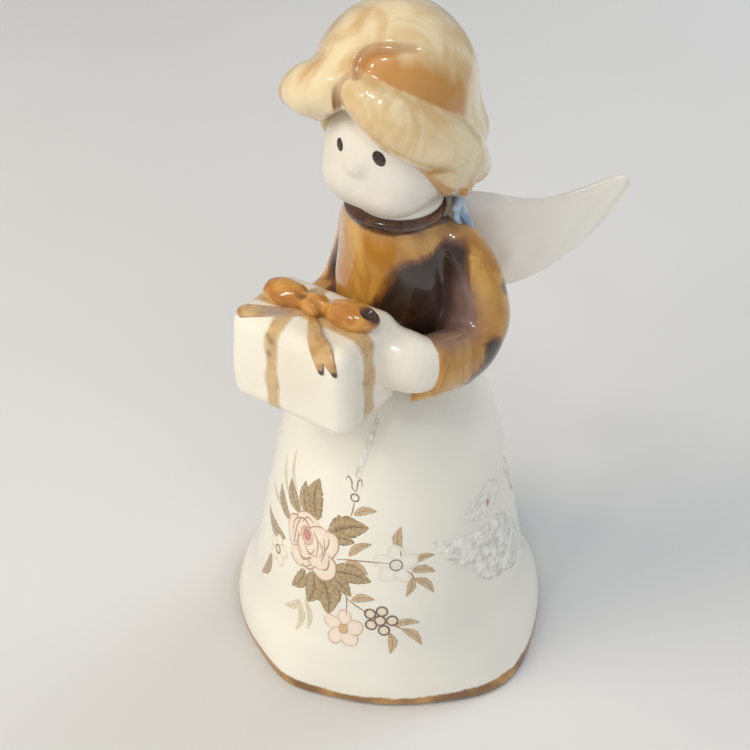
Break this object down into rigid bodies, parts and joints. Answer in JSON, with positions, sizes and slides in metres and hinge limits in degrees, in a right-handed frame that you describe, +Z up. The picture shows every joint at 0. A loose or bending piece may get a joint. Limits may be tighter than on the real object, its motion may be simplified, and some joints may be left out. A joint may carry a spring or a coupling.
{
  "type": "porcelain bell",
  "caption": "Hollow porcelain table bell shaped as an angel holding a parcel, with a scalloped gilded rim, a rose decal and a free-hanging wire and bead clapper inside.",
  "frame": {"origin": "on the bell's axis, in the plane of the rim that it stands on", "axes": "+Z up the bell's axis, -Y the way the figure faces, +X the figure's left"},
  "size_m": [0.0639, 0.0618, 0.1264],
  "materials": {
    "porcelain": "clear gloss glaze over white porcelain",
    "bisque": "satin white, thinly glazed",
    "hair_glaze": "honey gloss glaze, darker in the hollows",
    "amber_glaze": "mottled amber and dark brown gloss glaze",
    "bow_glaze": "amber gloss glaze with brown spots",
    "blue_glaze": "pale blue gloss",
    "cement": "matt cement",
    "wire": "drawn wire, dull",
    "striker": "gloss glazed bead"
  },
  "bodies": {
    "figure": {"bell_skirt": "porcelain", "collar": "porcelain", "left_hand": "porcelain", "right_hand": "porcelain", "left_wing": "porcelain", "right_wing": "porcelain", "gift_box": "porcelain", "head": "bisque", "hair_crown": "hair_glaze", "fringe_left": "hair_glaze", "fringe_right": "hair_glaze", "side_lock": "hair_glaze", "nape_roll": "hair_glaze", "bodice": "amber_glaze", "neckline": "amber_glaze", "left_sleeve": "amber_glaze", "right_sleeve": "amber_glaze", "bow_knot": "bow_glaze", "bow_loop_left": "bow_glaze", "bow_loop_right": "bow_glaze", "bow_tail_left": "bow_glaze", "bow_tail_right": "bow_glaze", "neck_ribbon": "blue_glaze", "crown_plug": "cement", "clapper_staple": "wire"},
    "link": {"clapper_link": "wire"},
    "clapper": {"clapper_stem": "wire", "clapper_bead": "striker", "stem_ferrule": "wire"}
  },
  "joints": [
    {"name": "link_swing", "type": "hinge", "parent": "figure", "child": "link", "pos_m": [0, 0, 0.0505], "axis": [1, 0, 0], "range_deg": [-21, 21]},
    {"name": "clapper_swing", "type": "hinge", "parent": "link", "child": "clapper", "pos_m": [0, 0, 0.045], "axis": [0, 1, 0], "range_deg": [-21, 21]}
  ]
}
